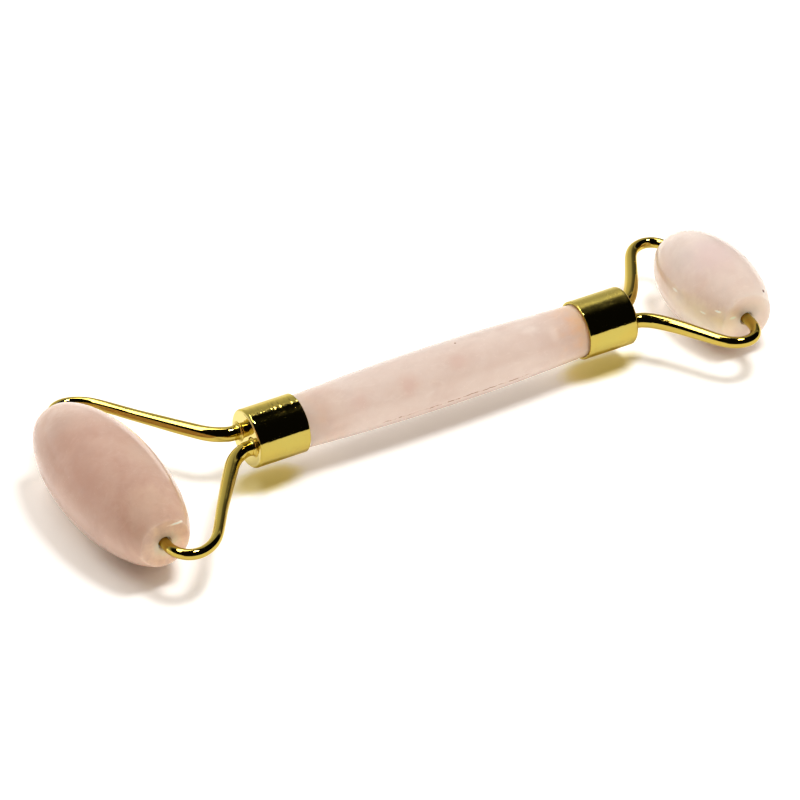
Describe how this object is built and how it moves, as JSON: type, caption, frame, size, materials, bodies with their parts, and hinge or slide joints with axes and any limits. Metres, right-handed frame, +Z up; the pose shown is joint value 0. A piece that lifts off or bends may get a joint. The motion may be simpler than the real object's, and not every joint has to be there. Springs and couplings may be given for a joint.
{
  "type": "face roller",
  "caption": "Double-ended stone face roller: barrel stone handle, gold cups with bent arm yokes, a long oval roller at one end and a short oval roller at the other, both spinning freely.",
  "frame": {"origin": "middle of the handle, on its axis", "axes": "X along the handle with the large roller at -X and the small roller at +X; Y along both roller axes; Z up, square to the plane of the yokes"},
  "size_m": [0.1447, 0.0548, 0.0194],
  "materials": {
    "stone_handle": "polished",
    "stone_large": "polished",
    "stone_small": "polished",
    "gold": "mirror-polished gold plating",
    "nylon": "natural nylon",
    "adhesive": "set clear adhesive"
  },
  "bodies": {
    "handle": {"handle_stone": "stone_handle", "large_ferrule": "gold", "small_ferrule": "gold", "large_arm_left": "gold", "large_arm_right": "gold", "small_arm_left": "gold", "small_arm_right": "gold", "large_arm_collar_left": "gold", "large_arm_collar_right": "gold", "small_arm_collar_left": "gold", "small_arm_collar_right": "gold", "large_ferrule_adhesive": "adhesive", "small_ferrule_adhesive": "adhesive"},
    "large_roller": {"large_roller_stone": "stone_large", "large_bush_left": "nylon", "large_bush_right": "nylon"},
    "small_roller": {"small_roller_stone": "stone_small", "small_bush_left": "nylon", "small_bush_right": "nylon"}
  },
  "joints": [
    {"name": "large_roller_spin", "type": "hinge", "parent": "handle", "child": "large_roller", "pos_m": [-0.0675, 0, 0], "axis": [0, 1, 0], "continuous": true},
    {"name": "small_roller_spin", "type": "hinge", "parent": "handle", "child": "small_roller", "pos_m": [0.059, 0, 0], "axis": [0, 1, 0], "continuous": true}
  ]
}
